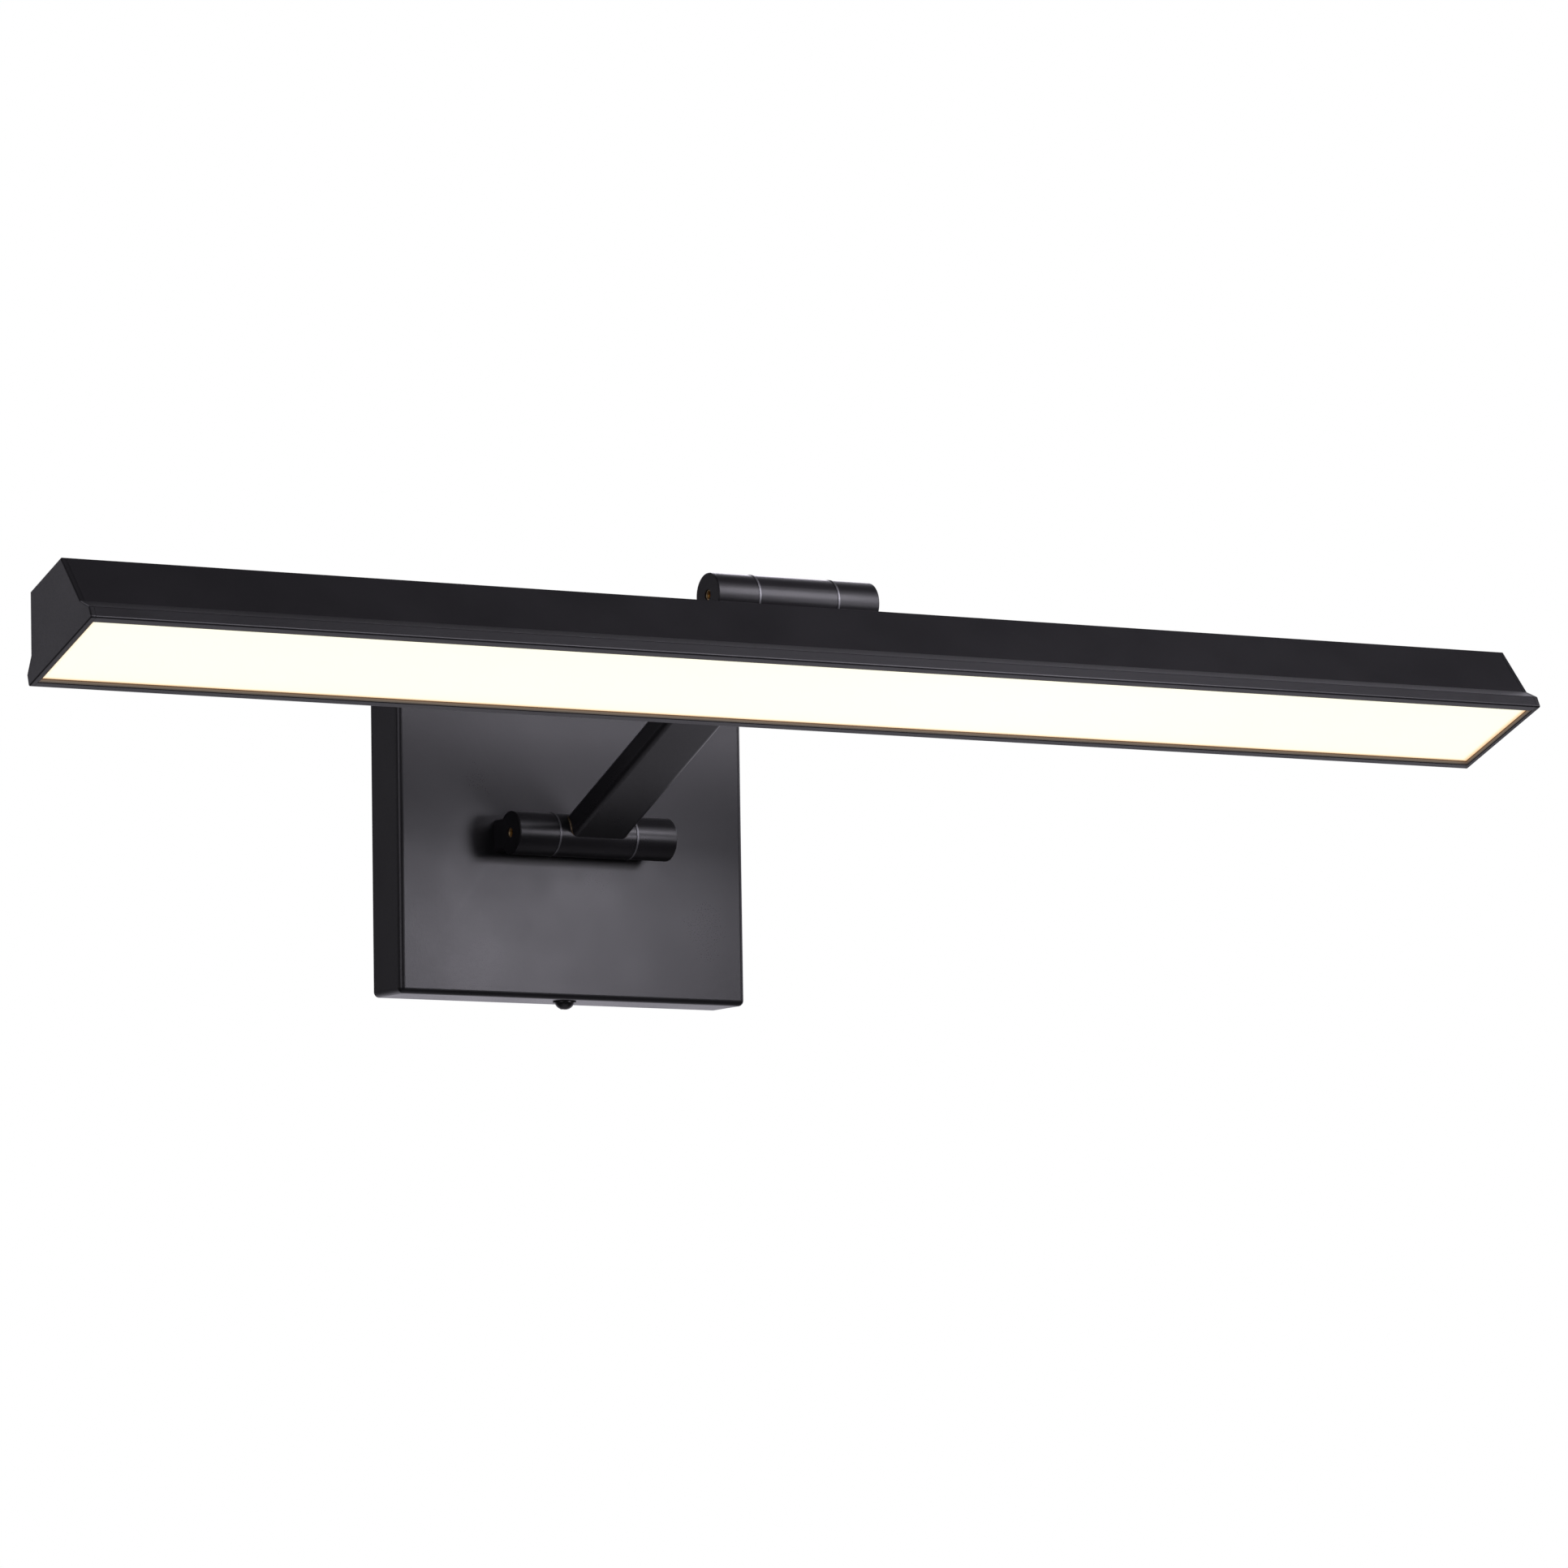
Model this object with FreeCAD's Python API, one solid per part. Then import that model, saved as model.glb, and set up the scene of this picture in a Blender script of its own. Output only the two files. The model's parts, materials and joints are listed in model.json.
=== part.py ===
import FreeCAD, Part
import math
import os

from FreeCAD import Placement, Rotation, Vector

# Wall-mounted picture light with two friction hinges. All sizes are in millimetres.
# Frame: the wall is the plane Y = 0 and the light stands out from it towards -Y; +Z is up and X runs
# along the lamp head. The origin is the centre of the canopy's back, on the wall.

# ---- Driving dimensions -------------------------------------------------------------------------

CANOPY_SIDE = 125.0
CANOPY_DEPTH = 17.3
CANOPY_WALL = 1.5
CANOPY_EDGE_R = 1.8

HEAD_LENGTH = 508.0
HEAD_HEIGHT = 25.4
HEAD_TILT = -20.8
TOP_HALF = 10.5
WALL_FOOT_HALF = 16.9
WALL_FOOT_UP = 8.0
RIM_TOP_HALF = 21.3
RIM_TOP_UP = 4.0
RIM_HALF = 21.6
RIM_UP = 0.3
HEAD_WALL = 1.2
CAP_THICKNESS = 1.6

ARM_PITCH = 136.2
ARM_RISE = 25.9
ARM_WIDTH = 20.0
ARM_THICKNESS = 8.0
ARM_WALL = 1.2
ARM_EDGE_R = 2.0

BARREL_R = 6.8
BARREL_HALF = 28.4
HUB_HALF = 13.5
AXIS_STANDOFF = 10.0
HINGE_DROP = -11.9
HEAD_HINGE_OFFSET = 3.8

# ---- Sizes that follow from them ----------------------------------------------------------------

HALF = CANOPY_SIDE / 2
FRONT_INSIDE = CANOPY_WALL - CANOPY_DEPTH
HEAD_HALF = HEAD_LENGTH / 2
LOWER_AXIS = Vector(0, -(CANOPY_DEPTH + AXIS_STANDOFF), HINGE_DROP)
RISE = math.radians(ARM_RISE)
UPPER_AXIS = LOWER_AXIS + Vector(0, -math.cos(RISE), math.sin(RISE)) * ARM_PITCH
HEAD_AXIS_UP = HEAD_HEIGHT + AXIS_STANDOFF

# Hinge
WASHER_T = 0.6
WASHER_GAP = 0.12
WASHER_R = BARREL_R + 0.15
KNUCKLE_IN = HUB_HALF + WASHER_GAP + WASHER_T
FOOT_HALF = 5.0
PIN_R = 2.5
PIN_BORE_R = 1.55
PIN_SEAT_R = 2.52
PIN_END_DEPTH = 1.3
ACCESS_R = 1.7
HUB_BORE_R = 4.0
BUSH_BORE_R = 2.56
BUSH_LENGTH = 6.0
FOOT_SCREW_X = 23.6
FOOT_WIRE_X = -17.2
FOOT_WIRE_R = 1.9
EDGE_BREAK = 0.35

# Rim, lens and end caps
RIM_TOP_R = 0.6
RIM_EDGE_R = 0.55
FLANGE_EDGE_R = 0.35
FLANGE_UP = 1.0
LENS_OPEN_HALF = 18.7
LENS_HALF = 19.8
LENS_FACE_UP = 1.62
LENS_TOP_UP = 2.9
LENS_EDGE = 0.15
CAP_GAP = 0.08
CAP_EDGE_R = 0.4
SPIGOT_UP = 3.5
SPIGOT_DEPTH = 3.5

# Inside the head
TRAY_UP = 17.6
TRAY_THICKNESS = 0.9
TRAY_HALF = 11.0
TRAY_HALF_LENGTH = 248.0
BOARD_HALF_LENGTH = 244.0
BOARD_HALF = 6.0
BOARD_T = 1.2
CHIP = (3.5, 2.8, 0.7)
CHIP_COUNT = 60
CHIP_PITCH = 8.0
SPACER_X = (-205.0, -75.0, 75.0, 205.0)
SPACER_R = 3.0

# Inside the canopy
STRAP_HALF = 13.0
STRAP_T = 1.5
TAB_HALF = 8.0
TAB_REACH = 15.0
TAB_GAP = 0.3
SLOT_R = 2.3
SLOT_LENGTH = 16.0
SLOT_CENTRE = 44.45
CANOPY_SCREW_Y = -10.6
GROUND_SCREW_Z = -22.0
DRIVER = (-54.0, -27.5, -14.9, -2.6, -40.0, 40.0)
BLOCK = (30.0, 54.0, FRONT_INSIDE + 0.05, -4.5, -20.0, -6.0)
LEAD_R = 0.75


# ---- Small helpers ------------------------------------------------------------------------------


def box(x0, x1, y0, y1, z0, z1):
    return Part.makeBox(x1 - x0, y1 - y0, z1 - z0, Vector(x0, y0, z0))


def cylinder(radius, start, end):
    start, end = Vector(*start), Vector(*end)
    along = end - start
    return Part.makeCylinder(radius, along.Length, start, along)


def ring(outer, inner, start, end):
    return cylinder(outer, start, end).cut(cylinder(inner, start, end))


def edges_where(shape, test):
    return [e for e in shape.Edges if test(e)]


def is_along(edge, axis):
    """True for a straight edge that runs along the given unit axis."""
    if not isinstance(edge.Curve, Part.Line):
        return False
    return abs(edge.tangentAt(edge.FirstParameter).dot(axis)) > 0.999


def rounded_bar(x0, x1, y0, y1, z0, z1, radius, axis):
    """A box whose four edges along one axis are rounded."""
    bar = box(x0, x1, y0, y1, z0, z1)
    return bar.makeFillet(radius, edges_where(bar, lambda e: is_along(e, axis)))


def slot_cutter(half_length, radius, centre_z, y0, y1):
    """A round-ended slot that runs along Z, cut through along Y."""
    reach = half_length - radius
    body = box(-radius, radius, y0, y1, centre_z - reach, centre_z + reach)
    for side in (-1, 1):
        z = centre_z + side * reach
        body = body.fuse(cylinder(radius, (0, y0, z), (0, y1, z)))
    return body


def extrude_profile(edges, x0, x1):
    """Extrudes a closed outline drawn in the YZ plane along X."""
    face = Part.Face(Part.Wire(Part.__sortEdges__(edges)))
    face.translate(Vector(x0, 0, 0))
    return face.extrude(Vector(x1 - x0, 0, 0))


def polyline(points):
    """Straight edges through (y, z) points."""
    corners = [Vector(0, y, z) for y, z in points]
    return [Part.LineSegment(a, b).toShape() for a, b in zip(corners, corners[1:])]


def lead(points, radius=LEAD_R):
    """A round insulated wire along straight runs joined by tangent arcs."""
    route = [Vector(*p) for p in points]
    edges, start = [], route[0]
    for before, corner, after in zip(route, route[1:], route[2:]):
        back, ahead = before - corner, after - corner
        shorter = min(back.Length, ahead.Length)
        back.normalize()
        ahead.normalize()
        reach = 0.45 * shorter
        half_angle = 0.5 * math.acos(max(-1.0, min(1.0, back.dot(ahead))))
        bend_r = reach * math.tan(half_angle)
        first, last = corner + back * reach, corner + ahead * reach
        inward = back + ahead
        inward.normalize()
        middle = corner + inward * (bend_r / math.sin(half_angle) - bend_r)
        edges.append(Part.LineSegment(start, first).toShape())
        edges.append(Part.Arc(first, middle, last).toShape())
        start = last
    edges.append(Part.LineSegment(start, route[-1]).toShape())
    spine = Part.Wire(edges)
    circle = Part.Wire(Part.makeCircle(radius, route[0], route[1] - route[0]))
    return spine.makePipeShell([circle], True, False)


def cross_recess(radius, depth, top):
    """A cross-head recess that opens at height top, round the Z axis."""
    blade = 0.26 * radius
    arms = box(-radius, radius, -blade, blade, top - depth, top + 1)
    return arms.fuse(box(-blade, blade, -radius, radius, top - depth, top + 1))


def hex_socket(end_x, half_flat, depth):
    """A six-sided recess along X that opens at end_x."""
    corner = half_flat / math.cos(math.pi / 6)
    points = [
        Vector(end_x - 1, corner * math.cos(a), corner * math.sin(a))
        for a in (math.pi / 3 * i for i in range(7))
    ]
    return Part.Face(Part.makePolygon(points)).extrude(Vector(depth + 1, 0, 0))


def pan_screw(head_r, head_h, shank_r, length):
    """A cross-head pan screw along Z: its head stands on Z = 0 and its shank goes down."""
    head = cylinder(head_r, (0, 0, 0), (0, 0, head_h))
    crown = edges_where(head, lambda e: e.BoundBox.ZMin > head_h - 0.01)
    head = head.makeFillet(0.62 * head_h, crown)
    screw = head.fuse(cylinder(shank_r, (0, 0, -length), (0, 0, 0.2)))
    screw = screw.cut(cross_recess(0.52 * head_r, 0.6 * head_h, head_h))
    return screw.removeSplitter()


def dome_screw(head_r, head_h, shank_r, length):
    """A cross-head screw with a low domed head that stands on Z = 0."""
    dome_r = (head_r**2 + head_h**2) / (2 * head_h)
    ball = Part.makeSphere(dome_r, Vector(0, 0, head_h - dome_r))
    head = ball.common(cylinder(head_r + 1, (0, 0, 0), (0, 0, 0.9 * head_h)))
    screw = head.fuse(cylinder(shank_r, (0, 0, -length), (0, 0, 0.2)))
    screw = screw.cut(cross_recess(0.42 * head_r, 0.6 * head_h, 0.9 * head_h))
    return screw.removeSplitter()


def compound(shapes):
    return Part.makeCompound(list(shapes))


# ---- Frames of the moving bodies ----------------------------------------------------------------

# The base hinge stands on the canopy's front, so its "up" points away from the wall.
BASE_HINGE = Placement(LOWER_AXIS, Rotation(Vector(1, 0, 0), 90))
# In the arm's own frame the lower axis is the origin and +Z runs along the arm.
ARM = Placement(LOWER_AXIS, Rotation(Vector(1, 0, 0), 90 - ARM_RISE))
# In the head's own frame Z = 0 lies just under the rim. The hinge axis stands above it, set towards
# the wall so that the head has more room to tilt.
TILT = Rotation(Vector(1, 0, 0), HEAD_TILT)
HEAD = Placement(UPPER_AXIS - TILT.multVec(Vector(0, HEAD_HINGE_OFFSET, HEAD_AXIS_UP)), TILT)
HEAD_HINGE = Placement(UPPER_AXIS, TILT)


def placed(shape, frame):
    moved = shape.copy()
    moved.Placement = frame.multiply(moved.Placement)
    return moved


# ---- Hinge parts, about an axis along X with the mounting surface below -------------------------


def knuckle(side):
    """One outer knuckle: a barrel on a block foot, bored for the pin, a screw and the leads."""
    inner, outer = side * KNUCKLE_IN, side * BARREL_HALF
    barrel = cylinder(BARREL_R, (inner, 0, 0), (outer, 0, 0))
    end_edge = edges_where(
        barrel,
        lambda e: isinstance(e.Curve, Part.Circle) and abs(e.Curve.Center.x - outer) < 0.01,
    )
    barrel = barrel.makeFillet(EDGE_BREAK, end_edge)
    low, high = sorted((inner, outer))
    foot = rounded_bar(
        low, high, -FOOT_HALF, FOOT_HALF, -AXIS_STANDOFF, 0, 0.8, Vector(0, 0, 1)
    )
    body = barrel.fuse(foot).removeSplitter()
    seat_end = outer - side * PIN_END_DEPTH
    body = body.cut(cylinder(PIN_SEAT_R, (inner - side, 0, 0), (seat_end, 0, 0)))
    body = body.cut(cylinder(ACCESS_R, (seat_end, 0, 0), (outer + side, 0, 0)))
    screw_x = side * FOOT_SCREW_X
    body = body.cut(
        cylinder(1.6, (screw_x, 0, -AXIS_STANDOFF - 1), (screw_x, 0, -PIN_SEAT_R - 0.8))
    )
    if side < 0:
        wire_start = (FOOT_WIRE_X, 0, -AXIS_STANDOFF - 1)
        body = body.cut(cylinder(FOOT_WIRE_R, wire_start, (FOOT_WIRE_X, 0, 0)))
    return body


def foot_screws(wall):
    """The two screws that hold a hinge's feet, driven from inside through a wall."""
    under = -AXIS_STANDOFF - wall
    screws = []
    for side in (-1, 1):
        screw = pan_screw(3.0, 2.0, 1.55, wall + 4.6)
        screw.rotate(Vector(0, 0, 0), Vector(1, 0, 0), 180)
        screw.translate(Vector(side * FOOT_SCREW_X, 0, under))
        screws.append(screw)
    return compound(screws)


def hinge_pin():
    """Pin that the centre barrel turns on: bored from the right end, with two windows for the leads."""
    reach = BARREL_HALF - PIN_END_DEPTH - 0.05
    pin = cylinder(PIN_R, (-reach, 0, 0), (reach, 0, 0))
    pin = pin.cut(cylinder(PIN_BORE_R, (FOOT_WIRE_X - PIN_BORE_R, 0, 0), (reach + 1, 0, 0)))
    pin = pin.cut(box(FOOT_WIRE_X - 1.5, FOOT_WIRE_X + 3.4, -1.5, 1.5, -PIN_R - 1, 0))
    pin = pin.cut(rounded_bar(-3.5, 3.5, -1.5, 1.5, -4, 4, 1.0, Vector(0, 0, 1)))
    return pin.cut(hex_socket(-reach, 1.0, 1.6))


def hinge_leads():
    """The low-voltage pair's stretch from the left foot into the bore of the pin."""
    return [
        lead([(FOOT_WIRE_X, y, -AXIS_STANDOFF), (FOOT_WIRE_X, y, 0), (1.5, y, 0)], 0.7)
        for y in (-0.75, 0.75)
    ]


def friction_washers():
    """Two flat washers between the centre barrel and the knuckles."""
    start = HUB_HALF + WASHER_GAP
    return compound(
        ring(WASHER_R, PIN_SEAT_R, (side * start, 0, 0), (side * (start + WASHER_T), 0, 0))
        for side in (-1, 1)
    )


def hinge_bushes():
    """Two plain sleeves pressed into the centre barrel's ends."""
    return compound(
        ring(
            HUB_BORE_R,
            BUSH_BORE_R,
            (side * (HUB_HALF - BUSH_LENGTH), 0, 0),
            (side * HUB_HALF, 0, 0),
        )
        for side in (-1, 1)
    )


def hub(towards_arm):
    """Centre barrel with a lead window on the side that the arm is welded to."""
    barrel = ring(BARREL_R, HUB_BORE_R, (-HUB_HALF, 0, 0), (HUB_HALF, 0, 0))
    return barrel.cut(cylinder(2.2, (0, 0, 0), (0, 0, towards_arm * (BARREL_R + 1))))


# ---- Canopy and what it holds -------------------------------------------------------------------


def canopy_cover():
    """Five-sided cover, open at the wall, with rounded outer edges."""
    shell = box(-HALF, HALF, -CANOPY_DEPTH, 0, -HALF, HALF)
    rounded = edges_where(
        shell,
        lambda e: is_along(e, Vector(0, 1, 0)) or e.BoundBox.YMax < -CANOPY_DEPTH + 0.01,
    )
    shell = shell.makeFillet(CANOPY_EDGE_R, rounded)
    inside = HALF - CANOPY_WALL
    shell = shell.cut(box(-inside, inside, FRONT_INSIDE, 1, -inside, inside))
    shell = shell.cut(
        cylinder(1.8, (0, CANOPY_SCREW_Y, -HALF - 1), (0, CANOPY_SCREW_Y, HALF + 1))
    )
    for x, radius in ((-FOOT_SCREW_X, 1.75), (FOOT_SCREW_X, 1.75), (FOOT_WIRE_X, FOOT_WIRE_R)):
        start = (x, -CANOPY_DEPTH - 1, HINGE_DROP)
        shell = shell.cut(cylinder(radius, start, (x, FRONT_INSIDE + 1, HINGE_DROP)))
    return shell


def mounting_strap():
    """Steel strap for the wall box, with a tapped tab at each end for the canopy screws."""
    tab_out = HALF - CANOPY_WALL - TAB_GAP
    strap = rounded_bar(
        -STRAP_HALF, STRAP_HALF, -STRAP_T, 0, -tab_out, tab_out, 3.0, Vector(0, 1, 0)
    )
    for side in (-1, 1):
        z0, z1 = sorted((side * (tab_out - STRAP_T), side * tab_out))
        tab = rounded_bar(
            -TAB_HALF, TAB_HALF, -TAB_REACH, -0.5, z0, z1, 1.2, Vector(0, 0, 1)
        )
        strap = strap.fuse(tab)
        strap = strap.cut(
            slot_cutter(SLOT_LENGTH / 2, SLOT_R, side * SLOT_CENTRE, -STRAP_T - 1, 1)
        )
    strap = strap.cut(
        cylinder(1.5, (0, CANOPY_SCREW_Y, -HALF), (0, CANOPY_SCREW_Y, HALF))
    )
    strap = strap.cut(
        cylinder(1.9, (0, -STRAP_T - 1, GROUND_SCREW_Z), (0, 1, GROUND_SCREW_Z))
    )
    return strap.removeSplitter()


def canopy_screw_washers():
    """A flat washer under each canopy screw, outside the cover."""
    return compound(
        ring(3.7, 1.6, (0, CANOPY_SCREW_Y, side * HALF), (0, CANOPY_SCREW_Y, side * (HALF + 0.5)))
        for side in (-1, 1)
    )


def canopy_screws():
    """The two screws through the canopy's top and bottom edges."""
    screws = []
    for turn, side in ((0, 1), (180, -1)):
        screw = dome_screw(3.15, 2.2, 1.45, 8.0)
        screw.rotate(Vector(0, 0, 0), Vector(1, 0, 0), turn)
        screw.translate(Vector(0, CANOPY_SCREW_Y, side * (HALF + 0.5)))
        screws.append(screw)
    return compound(screws)


def ground_screw():
    """Green earthing screw with the lead's ring terminal under its head."""
    screw = pan_screw(3.4, 2.1, 1.85, STRAP_T + 0.9)
    screw.rotate(Vector(0, 0, 0), Vector(1, 0, 0), 90)
    screw.translate(Vector(0, -STRAP_T - 0.9, GROUND_SCREW_Z))
    return screw


def ring_terminal():
    """Crimped ring that holds the earthing lead on the strap."""
    y0, y1 = -STRAP_T - 0.85, -STRAP_T - 0.05
    eye = ring(3.6, 1.95, (0, y0, GROUND_SCREW_Z), (0, y1, GROUND_SCREW_Z))
    neck = box(3.2, 7.0, y0, y1, GROUND_SCREW_Z - 1.4, GROUND_SCREW_Z + 1.4)
    crimp = ring(
        1.35, LEAD_R + 0.02, (6.5, y0 - 0.55, GROUND_SCREW_Z), (11.5, y0 - 0.55, GROUND_SCREW_Z)
    )
    return eye.fuse(neck).fuse(crimp).removeSplitter()


def led_driver():
    """Slim constant-current driver: a case with a lead boss at each end."""
    x0, x1, y0, y1, z0, z1 = DRIVER
    case = box(x0, x1, y0, y1, z0, z1)
    case = case.makeFillet(1.5, case.Edges)
    mid_x, mid_y = (x0 + x1) / 2, (y0 + y1) / 2
    for end, side in ((z0, -1), (z1, 1)):
        near, far = sorted((end - side * 0.5, end + side * 1.8))
        boss = rounded_bar(
            mid_x - 6, mid_x + 6, mid_y - 2.6, mid_y + 2.6, near, far, 1.5, Vector(0, 0, 1)
        )
        case = case.fuse(boss)
    lid = box(x0 + 1.6, x1 - 1.6, y1 - 0.3, y1 + 0.4, z0 + 1.6, z1 - 1.6)
    return case.fuse(lid).removeSplitter()


def driver_foam_pad():
    """Adhesive foam strip that holds the driver to the cover."""
    x0, x1, y0, _, z0, z1 = DRIVER
    return box(x0 + 3, x1 - 3, FRONT_INSIDE + 0.02, y0 - 0.02, z0 + 4, z1 - 4)


def terminal_block():
    """Three-pole block where the fixed wiring joins the light's own leads."""
    x0, x1, y0, y1, z0, z1 = BLOCK
    block = rounded_bar(x0, x1, y0, y1, z0, z1, 1.0, Vector(0, 1, 0))
    mid_y, mid_z = (y0 + y1) / 2, (z0 + z1) / 2
    for x in block_poles():
        block = block.cut(cylinder(1.5, (x, mid_y, z1 - 5), (x, mid_y, z1 + 1)))
        block = block.cut(cylinder(LEAD_R + 0.02, (x, mid_y, z0 - 1), (x, mid_y, z0 + 4)))
        block = block.cut(cylinder(1.7, (x, y1 - 3, mid_z), (x, y1 + 1, mid_z)))
    for x in block_poles()[1:]:
        rib_x = x - block_pitch() / 2
        block = block.cut(box(rib_x - 0.4, rib_x + 0.4, y1 - 1.5, y1 + 1, z0 - 1, z1 + 1))
    return block


def block_pitch():
    return (BLOCK[1] - BLOCK[0]) / 3


def block_poles():
    return [BLOCK[0] + block_pitch() * (i + 0.5) for i in range(3)]


def terminal_screws():
    """Clamp screws of the terminal block, sunk in its back."""
    mid_z = (BLOCK[4] + BLOCK[5]) / 2
    screws = []
    for x in block_poles():
        body = cylinder(1.6, (x, BLOCK[3] - 2.9, mid_z), (x, BLOCK[3] - 0.9, mid_z))
        slot = box(x - 2, x + 2, BLOCK[3] - 1.6, BLOCK[3], mid_z - 0.25, mid_z + 0.25)
        screws.append(body.cut(slot))
    return compound(screws)


def mains_leads():
    """Live and neutral leads from the driver to the terminal block."""
    mid_x, mid_y = (DRIVER[0] + DRIVER[1]) / 2, (DRIVER[2] + DRIVER[3]) / 2
    block_y = (BLOCK[2] + BLOCK[3]) / 2
    leads = []
    for x, pole, low in ((mid_x + 2, block_poles()[0], -47), (mid_x - 2, block_poles()[1], -51)):
        leads.append(
            lead(
                [
                    (x, mid_y, DRIVER[4] - 1.8),
                    (x, mid_y, low),
                    (-12, -12.2, low),
                    (14, -12.2, low),
                    (pole, block_y, low + 2),
                    (pole, block_y, BLOCK[4]),
                ]
            )
        )
    return leads


def ground_lead():
    """Earthing lead from the terminal block to the ring terminal."""
    pole, block_y = block_poles()[2], (BLOCK[2] + BLOCK[3]) / 2
    terminal_y = -STRAP_T - 0.85 - 0.55
    return lead(
        [
            (pole, block_y, BLOCK[4]),
            (pole, block_y, -27.5),
            (43, -4.6, -30),
            (20, terminal_y, GROUND_SCREW_Z),
            (11.5, terminal_y, GROUND_SCREW_Z),
        ]
    )


def output_leads():
    """Low-voltage pair from the driver to the lead hole behind the left foot."""
    mid_x, mid_y = (DRIVER[0] + DRIVER[1]) / 2, (DRIVER[2] + DRIVER[3]) / 2
    end_y = FRONT_INSIDE - 0.2
    return [
        lead(
            [
                (mid_x + shift, mid_y, DRIVER[5] + 1.8),
                (mid_x + shift, mid_y, 51 + shift),
                (FOOT_WIRE_X + shift, mid_y, 49 + shift),
                (FOOT_WIRE_X + shift, mid_y + 1, 20),
                (FOOT_WIRE_X + shift, mid_y + 3, HINGE_DROP),
                (FOOT_WIRE_X + shift, end_y, HINGE_DROP),
            ],
            0.7,
        )
        for shift in (-0.75, 0.75)
    ]


def wire_grommet():
    """Rubber bush that keeps the pair off the edge of the lead hole."""
    x, z = FOOT_WIRE_X, HINGE_DROP
    flange = ring(3.1, 1.5, (x, FRONT_INSIDE, z), (x, FRONT_INSIDE + 1.0, z))
    sleeve = ring(FOOT_WIRE_R, 1.5, (x, -CANOPY_DEPTH, z), (x, FRONT_INSIDE, z))
    return flange.fuse(sleeve).removeSplitter()


# ---- Arm ----------------------------------------------------------------------------------------


def arm_tube():
    """Rectangular tube, coped at both ends to the centre barrels it is welded to."""
    half_w, half_t = ARM_WIDTH / 2, ARM_THICKNESS / 2
    tube = rounded_bar(
        -half_w, half_w, -half_t, half_t, 0, ARM_PITCH, ARM_EDGE_R, Vector(0, 0, 1)
    )
    in_w, in_t = half_w - ARM_WALL, half_t - ARM_WALL
    tube = tube.cut(box(-in_w, in_w, -in_t, in_t, -1, ARM_PITCH + 1))
    for z in (0, ARM_PITCH):
        tube = tube.cut(cylinder(BARREL_R, (-HUB_HALF, 0, z), (HUB_HALF, 0, z)))
    return tube


def arm_leads():
    """The low-voltage pair inside the arm."""
    return [
        cylinder(0.7, (side * 0.8, 0, BARREL_R + 0.1), (side * 0.8, 0, ARM_PITCH - BARREL_R - 0.1))
        for side in (-1, 1)
    ]


# ---- Head, in its own frame ---------------------------------------------------------------------


def inset_line(start, end, inset):
    """A side of the outline moved inwards: a point on it and its direction."""
    dy, dz = end[0] - start[0], end[1] - start[1]
    length = math.hypot(dy, dz)
    return (start[0] + inset * dz / length, start[1] - inset * dy / length), (dy, dz)


def crossing(first, second):
    """Where two lines meet; each is a point and a direction."""
    (ay, az), (ady, adz) = first
    (by, bz), (bdy, bdz) = second
    reach = ((by - ay) * bdz - (bz - az) * bdy) / (ady * bdz - adz * bdy)
    return ay + reach * ady, az + reach * adz


def section(inset, bottom):
    """Closed outline of the head in the YZ plane, moved inwards by inset and ending at bottom."""
    outer = [
        (0, HEAD_HEIGHT),
        (TOP_HALF, HEAD_HEIGHT),
        (WALL_FOOT_HALF, WALL_FOOT_UP),
        (RIM_TOP_HALF, RIM_TOP_UP),
        (RIM_HALF, RIM_UP),
    ]
    lines = [inset_line(a, b, inset) for a, b in zip(outer, outer[1:])]
    lines.append(((0, bottom), (1, 0)))
    side = [crossing(a, b) for a, b in zip(lines, lines[1:])]
    points = side + [(-y, z) for y, z in reversed(side)]
    return polyline(points + points[:1])


def soften_rim(body, long_edge_r):
    """Rounds the rim's top and bottom edges where they run along X."""
    def along_x(low, high):
        return lambda e: (
            is_along(e, Vector(1, 0, 0))
            and low < e.BoundBox.ZMin
            and e.BoundBox.ZMax < high
            and abs(e.BoundBox.YMin) > RIM_TOP_HALF - 0.1
        )

    body = body.makeFillet(RIM_TOP_R, edges_where(body, along_x(RIM_TOP_UP - 0.1, RIM_TOP_UP + 0.1)))
    return body.makeFillet(long_edge_r, edges_where(body, along_x(RIM_UP - 0.1, RIM_UP + 0.1)))


def head_housing():
    """Extruded channel with sloping sides, a bevelled rim and flanges that carry the lens."""
    reach = HEAD_HALF - CAP_THICKNESS - CAP_GAP
    body = soften_rim(extrude_profile(section(0, RIM_UP), -reach, reach), RIM_EDGE_R)
    body = body.cut(extrude_profile(section(HEAD_WALL, FLANGE_UP), -reach - 1, reach + 1))
    body = body.cut(
        box(-reach - 1, reach + 1, -LENS_OPEN_HALF, LENS_OPEN_HALF, RIM_UP - 1, FLANGE_UP + 1)
    )
    inner = edges_where(
        body,
        lambda e: is_along(e, Vector(1, 0, 0))
        and e.BoundBox.ZMax < RIM_UP + 0.01
        and abs(e.BoundBox.YMin) < LENS_OPEN_HALF + 0.1,
    )
    body = body.makeFillet(FLANGE_EDGE_R, inner)
    y = HEAD_HINGE_OFFSET
    for x, radius in ((-FOOT_SCREW_X, 1.75), (FOOT_SCREW_X, 1.75), (FOOT_WIRE_X, FOOT_WIRE_R)):
        low, high = HEAD_HEIGHT - HEAD_WALL - 1, HEAD_HEIGHT + 1
        body = body.cut(cylinder(radius, (x, y, low), (x, y, high)))
    return body


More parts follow.
